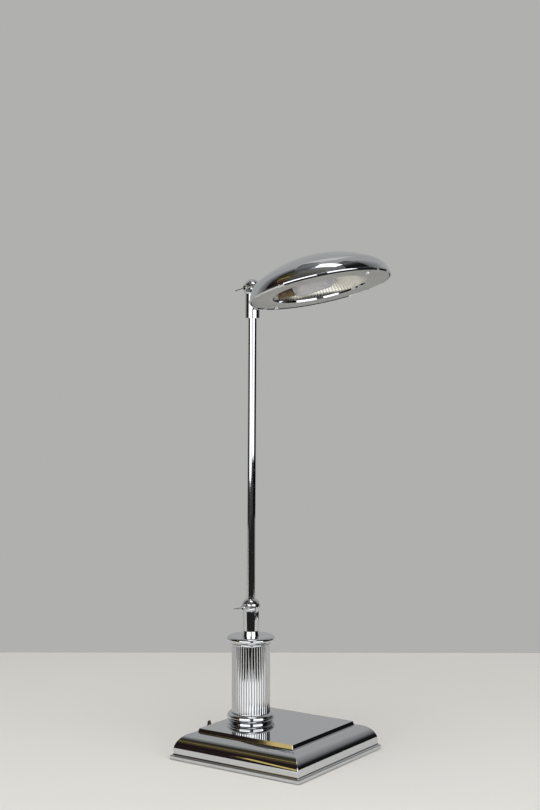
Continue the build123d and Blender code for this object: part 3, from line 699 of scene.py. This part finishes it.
# Nickel left satin by a fine abrasive: a soft grey, with its grit drawn at 0.4 mm so that it shows
nickel = mottled("satin_nickel", "#bdbdbb", "#c7c7c5", 25, (0.42, 0.55), 0.4, 0.05, metallic=1)[0]
lip_outside = opening_radius + lip_wall
lip_top = ring_recess + lip_height
ring_outline = [(lip_outside, ring_back), (lip_outside, ring_recess)]
ring_outline += arc(ring_radius - lip_round, ring_recess + lip_round, lip_round, -90, 0, 6)
ring_outline += [(ring_radius, ring_back)]
face_ring = put(turned("face", ring_outline, 160, closed=True), rim_centre, shade_tilt)
finish(face_ring, nickel, "shade", "satin_nickel", "face_ring")
lip_outline = arc(opening_radius + lip_taper + lip_round, ring_recess + lip_round, lip_round, 180, 270, 6)
lip_outline += [(lip_outside, ring_recess), (lip_outside, lip_top), (opening_radius, lip_top)]
lip = put(turned("bright_lip", lip_outline, 160, closed=True), rim_centre, shade_tilt)
finish(lip, chrome, "shade", "polished_chrome")

face_screw_inset = 7.3 * mm
face_screw_circle = ring_radius - face_screw_inset
face_screw_turn = radians(-9.5)
screw_head = 2.6 * mm
screw_head_height = 2.5 * mm
screw_skirt = 2.1 * mm
screw_taper = 0.1 * mm
screw_slot = 0.4 * mm
head_bottom = ring_recess - screw_head_height
screw_outline = [(screw_head, ring_recess)]
screw_outline += arc(0, ring_recess - screw_skirt, screw_head - screw_taper, 0, -85, 12,
                     (screw_head_height - screw_skirt) / screw_head)
heads = []
for number in range(2):
    head = turned(f"ring_screw_{number + 1}", screw_outline, 40)
    cut = box_tool("screw_slot", Vector((-2 * screw_head, -screw_slot, head_bottom - screw_slot)),
                   Vector((2 * screw_head, screw_slot, head_bottom + 1.5 * screw_slot)))
    apply_boolean(head, cut, "DIFFERENCE")
    put(head, (0, face_screw_circle, 0))
    put(head, (0, 0, 0), (0, 0, face_screw_turn + number * pi))
    heads.append(put(head, rim_centre, shade_tilt))
bpy.ops.object.select_all(action="DESELECT")
for head in heads:
    head.select_set(True)
bpy.context.view_layer.objects.active = heads[0]
bpy.ops.object.join()
heads[0].name = "ring_screws"
# Bright nickel: a whiter mirror than the chrome around it
bright_nickel = mottled("bright_nickel_screws", "#f2f2f0", "#fbfbf9", 4, (0.1, 0.16), 0.3, 0.02,
                        metallic=1)[0]
finish(heads[0], bright_nickel, "shade", "bright_steel", "face_screws")
dress(steel, "face_posts")


# Reflector: a bowl spun from bright aluminium and ribbed from the middle to its rim, which lies on the
# back of the ring under three clips. It has a hole at the back for the lampholder.
reflector_radius = 51.1 * mm
reflector_depth = 28.0 * mm
reflector_shoulder = 18.0 * mm
rim_slope = radians(20)
reflector_wall = 0.8 * mm
reflector_flange = 5.5 * mm
rib_count = 90
rib_depth = 0.15 * mm
rib_line = 0.16
rib_shade = 0.3
back_angle = degrees(rim_slope) + 3
holder_radius = 8.2 * mm
holder_height = 12.0 * mm
holder_gap = 0.3 * mm
holder_turn = (shade_turn - radians(90), 0, 0)
holder_place = rim_centre + shade_matrix @ Vector((0, 0, holder_height))
# Spun aluminium: bright, warm and a little silky. The grooves between the ribs are too fine to show their
# shade, so a dark line of painted shade is drawn along each, rib_line of a rib's pitch to either side.
aluminium, bowl_tree, bowl_shader = mottled("bright_spun_aluminium", "#efece4", "#f8f5ee", 8, (0.2, 0.32),
                                            0.6, 0.04, metallic=1)
bowl_place = add_node(bowl_tree, "ShaderNodeTexCoord").outputs["Object"]
on_axis = add_node(bowl_tree, "ShaderNodeMapping", [("Vector", bowl_place)], vector_type="TEXTURE")
on_axis.inputs["Location"].default_value = rim_centre
on_axis.inputs["Rotation"].default_value = shade_tilt
around = add_node(bowl_tree, "ShaderNodeTexGradient", [("Vector", on_axis.outputs["Vector"])],
                  gradient_type="RADIAL")
# Painted shade: the base colour is darkened in a line along each groove between the ribs
turns = add_node(bowl_tree, "ShaderNodeMath", [(0, around.outputs["Fac"])], operation="MULTIPLY")
turns.inputs[1].default_value = rib_count
beside_line = add_node(bowl_tree, "ShaderNodeMath", [(0, turns.outputs["Value"])], operation="PINGPONG")
beside_line.inputs[1].default_value = 0.5
groove_shade_tone = add_node(bowl_tree, "ShaderNodeMapRange", [("Value", beside_line.outputs["Value"])],
                     from_min=0, from_max=rib_line, to_min=rib_shade, to_max=1)
bowl_tones = bowl_shader.inputs["Base Color"].links[0].from_socket
groove_shaded = add_node(bowl_tree, "ShaderNodeVectorMath",
                 [("Vector", bowl_tones), ("Scale", groove_shade_tone.outputs["Result"])], operation="SCALE")
bowl_tree.links.new(groove_shaded.outputs["Vector"], bowl_shader.inputs["Base Color"])
outer_radius = reflector_radius + reflector_wall
bowl_cut = reflector_shoulder * sin(rim_slope)
bowl_spread = reflector_radius + reflector_shoulder * (1 - cos(rim_slope))
bowl = dome(bowl_spread, reflector_depth + bowl_cut, reflector_shoulder, degrees(rim_slope))
flange_radius = outer_radius + reflector_flange
bowl += [(flange_radius, bowl_cut), (flange_radius, bowl_cut + reflector_wall)]
bowl += dome(bowl_spread + reflector_wall, reflector_depth + bowl_cut + reflector_wall,
             reflector_shoulder + reflector_wall, back_angle)[::-1]
reflector = turned("bowl", [(width, height - bowl_cut + ring_back) for width, height in bowl], 2 * rib_count)
bpy.ops.object.mode_set(mode="EDIT")
bpy.ops.mesh.select_all(action="DESELECT")
ribbed = bmesh.from_edit_mesh(reflector.data)
rib_start = 0.3 * reflector_radius
for vertex in ribbed.verts:
    place = vertex.co
    radius = Vector(place[:2]).length
    side = round(atan2(place.y, place.x) / pi * rib_count)
    vertex.select = side % 2 == 0 and rib_start < radius < outer_radius + rib_depth
ribbed.select_flush_mode()
bmesh.update_edit_mesh(reflector.data)
rib_share = 1 - rib_depth / reflector_radius
bpy.ops.transform.resize(value=(rib_share, rib_share, 1), center_override=(0, 0, 0))
bpy.ops.object.mode_set(mode="OBJECT")
put(reflector, rim_centre, shade_tilt)
hole_radius = holder_radius + holder_gap
holder_hole = turned("holder_hole", [(hole_radius, 0), (hole_radius, ring_radius)], 64)
apply_boolean(reflector, put(holder_hole, holder_place, holder_turn), "DIFFERENCE")
finish(reflector, aluminium, "shade", "bright_aluminium", "reflector")


# Lampholder: a brown moulded cup with two raised rings, held by a bracket on the back of the ring. The
# bulb screws into it and lies along the shade, towards the front.
holder_bore = 6.2 * mm
holder_length = 22.5 * mm
holder_floor = 6.0 * mm
holder_rim = 0.5 * mm
holder_rings = 2
holder_ring_pitch = 3.0 * mm
holder_groove = 0.5 * mm
# Brown phenolic: streaky brown, with the gloss of its mould
brown = mottled("brown_phenolic", "#4a3a24", "#6e5b3a", 5, (0.18, 0.3), 0.6, 0.05)[0]
holder_back = outer_radius + 2 * holder_gap
holder_front = holder_back - holder_length
holder_outline = [(holder_bore, holder_back - holder_floor), (holder_bore, holder_front + holder_rim)]
holder_outline += arc(holder_bore + holder_rim, holder_front + holder_rim, holder_rim, 180, 270, 4)
holder_outline += arc(holder_radius - holder_rim, holder_front + holder_rim, holder_rim, 270, 360, 4)
for number in range(1, holder_rings + 1):
    groove = holder_front + number * holder_ring_pitch
    holder_outline += [(holder_radius, groove), (holder_radius - holder_groove, groove + holder_groove / 2),
                       (holder_radius - holder_groove, groove + 1.5 * holder_groove),
                       (holder_radius, groove + 2 * holder_groove)]
holder_outline += [(holder_radius, holder_back - holder_rim), (holder_radius - holder_rim, holder_back)]
holder = put(turned("holder_cup", holder_outline, 72), holder_place, holder_turn)
finish(holder, brown, "shade", "brown_phenolic", "lampholder")

bulb_radius = 11.5 * mm
bulb_neck_radius = 5.6 * mm
bulb_neck = 3.0 * mm
bulb_shoulder = 6.0 * mm
bulb_length = 52.0 * mm
bulb_cap_length = 14.0 * mm
# Frosted glass: etched inside, so that it looks milky and hides what is in it
glass, _, glass_shader = mottled("frosted_glass", "#d8d6dc", "#e6e4ea", 10, (0.3, 0.42), 0.5, 0.1)
glass_shader.inputs["Transmission Weight"].default_value = 0.55
glass_shader.inputs["IOR"].default_value = 1.5
cap_end = holder_back - holder_floor - bulb_cap_length
bulb_end = cap_end - bulb_length + bulb_radius
bulb_outline = arc(0, bulb_end, bulb_radius, -88, 0, 16)
bulb_outline += arc(bulb_radius - bulb_shoulder, cap_end - bulb_neck - bulb_shoulder, bulb_shoulder, 0, 53, 6)
bulb_outline += [(bulb_neck_radius, cap_end - bulb_neck + turned_edge), (bulb_neck_radius, cap_end)]
bulb = put(turned("tubular_bulb", bulb_outline, 72), holder_place, holder_turn)
finish(bulb, glass, "shade", "frosted_glass", "bulb_glass")


# Stage: the lamp stands on a pale table in front of a plain grey wall, between two tall softboxes beside
# the camera and under a third, with a fill for the table. Cards that only mirrors see stand for the rest
# of the room. Sizes here are in metres.
wall_grey = "#b0b0af"
table_reach = 4.0
table_behind = 0.53
world = bpy.data.worlds.new("studio")
bpy.context.scene.world = world
world.use_nodes = True
world.node_tree.nodes["Background"].inputs["Color"].default_value = linear(wall_grey)
to_camera = Vector((camera_place.x, camera_place.y, 0)).normalized()
to_right = Vector((-to_camera.y, to_camera.x, 0))


def ahead(forward, right, height=0):
    """Place by its distance from the lamp towards the camera and to the camera's right."""
    return to_camera * forward + to_right * right + Vector((0, 0, height))


def aside(azimuth, distance, height):
    """Place at a bearing from the lamp: degrees to the right of the camera's own bearing."""
    turn = radians(azimuth)
    return (to_camera * cos(turn) + to_right * sin(turn)) * distance + Vector((0, 0, height))


def on_table(near, far, left, right, height=0):
    """Corners of a rectangle over the table."""
    return [ahead(near, left, height), ahead(far, left, height),
            ahead(far, right, height), ahead(near, right, height)]


def panel(name, corners):
    """Flat four-cornered panel of the stage."""
    sheet = begin(name, bpy.ops.mesh.primitive_plane_add, size=1)
    shape = bmesh.from_edit_mesh(sheet.data)
    order = sorted(shape.verts, key=lambda vertex: atan2(vertex.co.y, vertex.co.x))
    for vertex, corner in zip(order, corners):
        vertex.co = corner
    bmesh.update_edit_mesh(sheet.data)
    bpy.ops.object.mode_set(mode="OBJECT")
    return sheet


table = panel("table", on_table(-table_behind, table_reach, -table_reach, table_reach))
# Honed stone: pale and matt, with hardly any drift of tone
stone, _, stone_shader = mottled("pale_honed_stone", "#dcdad4", "#dedcd8", 400, (0.5, 0.6), 30, 0.0005)
stone_shader.inputs["Specular IOR Level"].default_value = 0
table.data.materials.append(stone)

card_strength = 0.88
card_lift = 0.001
room_height = 4.4
room_reach = 2.3
room_end = 3.0
streak_reach = 2.02
glare_start = 0.165
glare_end = 0.337
glare_glow = 1.5
table_right = 0.9


def plain(colour):
    """Tones of a card that has one colour all over."""
    return [(0, colour), (room_height, colour)]


def room_card(name, corners, tones, sides=(1, 1)):
    """Panel that only mirrors see: (height, colour) tones, made dimmer or brighter towards its two sides."""
    card = panel(name, corners)
    material, tree, shader = new_material(name)
    shader.inputs["Base Color"].default_value = linear("#000000")
    shader.inputs["Specular IOR Level"].default_value = 0
    place = add_node(tree, "ShaderNodeTexCoord").outputs
    height = add_node(tree, "ShaderNodeSeparateXYZ", [("Vector", place["Object"])]).outputs["Z"]
    share = add_node(tree, "ShaderNodeMapRange", [("Value", height)], from_max=room_height)
    ramp = add_node(tree, "ShaderNodeValToRGB", [("Fac", share.outputs["Result"])])
    while len(ramp.color_ramp.elements) < len(tones):
        ramp.color_ramp.elements.new(1)
    for stop, (level, colour) in zip(ramp.color_ramp.elements, tones):
        stop.position = level / room_height
        stop.color = linear(colour)
    tree.links.new(ramp.outputs["Color"], shader.inputs["Emission Color"])
    across = add_node(tree, "ShaderNodeSeparateXYZ", [("Vector", place["UV"])]).outputs["X"]
    strength = add_node(tree, "ShaderNodeMapRange", [("Value", across)],
                        to_min=card_strength * sides[0], to_max=card_strength * sides[1])
    tree.links.new(strength.outputs["Result"], shader.inputs["Emission Strength"])
    card.data.materials.append(material)
    card.visible_camera = False
    card.visible_diffuse = False
    card.visible_transmission = False
    card.visible_shadow = False


def upright_card(name, first, last, tones, sides=(1, 1)):
    """Upright card between two bearings, from the floor to the top of the room."""
    corners = [aside(first, room_reach, 0), aside(last, room_reach, 0),
               aside(last, room_reach, room_height), aside(first, room_reach, room_height)]
    room_card(name, corners, tones, sides)


def level_card(name, first, last, far, near, height, colour, sides=(1, 1)):
    """Level card overhead between two bearings, made dimmer or brighter from its far to its near edge."""
    corners = [aside(first, far, height), aside(first, near, height),
               aside(last, near, height), aside(last, far, height)]
    room_card(name, corners, plain(colour), sides)


def streak(name, first, last, first_heights, last_heights, colour):
    """Slanting bright band between two bearings, in front of the shelves."""
    corners = [aside(first, streak_reach, first_heights[0]), aside(last, streak_reach, last_heights[0]),
               aside(last, streak_reach, last_heights[1]), aside(first, streak_reach, first_heights[1])]
    room_card(name, corners, plain(colour))


floor_dark = plain("#2a2a29")
room_card("table_glare", [ahead(glare_start, -0.2, card_lift), ahead(glare_end, -0.3, card_lift),
                          ahead(glare_end, 0.3, card_lift), ahead(glare_start, 0.2, card_lift)],
          plain("#ffffff"), (glare_glow, glare_glow))
room_card("front_of_room", on_table(glare_end, room_end, -room_end, room_end, card_lift), floor_dark)
room_card("right_of_room", on_table(-table_behind, glare_end, table_right, room_end, card_lift), floor_dark)
upright_card("room_far_left", -125, -100, [(0, "#858585"), (4, "#8c8c8c")], (1.7, 0.35))
upright_card("gilt_shelves", -100, -59,
             [(0, "#2f2721"), (1.05, "#2b1f22"), (1.35, "#403431"), (1.68, "#534a3d"), (1.95, "#5a5140"),
              (2.0, "#837c5e"), (2.12, "#837c5e"), (2.17, "#534b38"), (2.6, "#5c563e"), (3.4, "#5c5c58"),
              (4.3, "#757575")], (0.3, 1.1))
upright_card("behind_left_softbox", -59, 5,
             [(0, "#4a4a4a"), (1.3, "#585858"), (1.8, "#626060"), (2.4, "#747169"), (3.1, "#7e7d7a"),
              (4.3, "#8c8c8c")], (0.8, 1.15))
upright_card("behind_right_softbox", 5, 45,
             [(0, "#454545"), (1.5, "#606060"), (2.3, "#868686"), (4.3, "#868686")], (1.1, 0.75))
upright_card("dark_curtain", 45, 95,
             [(0, "#0a0a0a"), (1.0, "#101010"), (1.7, "#2c2c2c"), (2.2, "#1e1e1e"), (3.0, "#222222"),
              (3.6, "#484848"), (4.3, "#5c5c5c")])
upright_card("room_right", 95, 132,
             [(0, "#121212"), (0.4, "#1b1b1b"), (0.52, "#303030"), (0.66, "#5c5c5c"), (0.9, "#7a7a7a"),
              (1.35, "#888888"), (1.8, "#828282"), (3.4, "#9a9a9a")], (0.6, 1.9))
streak("gilt_streak", -68.6, -63, (0.56, 0.7), (0.1, 0.32), "#f0d488")
level_card("high_right", 45, 100, room_reach, 1.2, room_height, "#6a6a6a")
level_card("high_far_left", -150, -85, 1.9, 0.5, 3.4, "#848484", (0.7, 1.3))
level_card("high_left", -85, -42, 1.9, 0.5, 3.4, "#848484", (0.4, 1.2))
streak("upper_streak", -86, -68, (1.48, 1.56), (2.1, 2.22), "#d8bc64")
streak("lower_streak", -80, -63, (1.24, 1.31), (1.6, 1.69), "#86713a")
room_card("high_wall", [aside(150, 0.9, 1.4), aside(210, 0.9, 1.4), aside(210, 0.9, 4), aside(150, 0.9, 4)],
          [(1.4, "#b4b4b3"), (2.0, "#e0e0e0"), (4, "#f0f0f0")])

box_distance = 1.8
box_top = 1.08
side_glow = 2.1
high_glow = 2.4
fill_glow = 2.2
high_turn = radians(-26.5)


def softbox(name, middle, target, width, height, glow):
    """Evenly lit area light of the given size that faces a point and shows glow in a perfect mirror."""
    facing = (target - middle).to_track_quat("-Z", "Y").to_euler()
    bpy.ops.object.light_add(type="AREA", location=middle, rotation=facing)
    light = bpy.context.object
    light.name = name
    light.data.shape = "RECTANGLE"
    light.data.size = width
    light.data.size_y = height
    light.data.energy = glow * pi * width * height
    light.visible_camera = False
    return light


def side_softbox(name, first, last, low):
    """Upright softbox beside the camera, between two bearings."""
    middle = aside((first + last) / 2, box_distance, (low + box_top) / 2)
    width = 2 * box_distance * tan(radians(last - first) / 2)
    softbox(name, middle, Vector((0, 0, middle.z)), width, box_top - low, side_glow)


side_softbox("left_softbox", -57, -4, 0.135)
side_softbox("right_softbox", 12, 62, 0.178)
high_box = softbox("high_softbox", ahead(0.762, 0.21, 2.5), ahead(0.762, 0.21), 1.17, 0.6, high_glow)
high_box.rotation_euler.z = camera_heading + high_turn
fill = softbox("table_fill", ahead(1.0, 0, 2.4), ahead(1.0, 0), 2.0, 2.0, fill_glow)
fill.visible_glossy = False
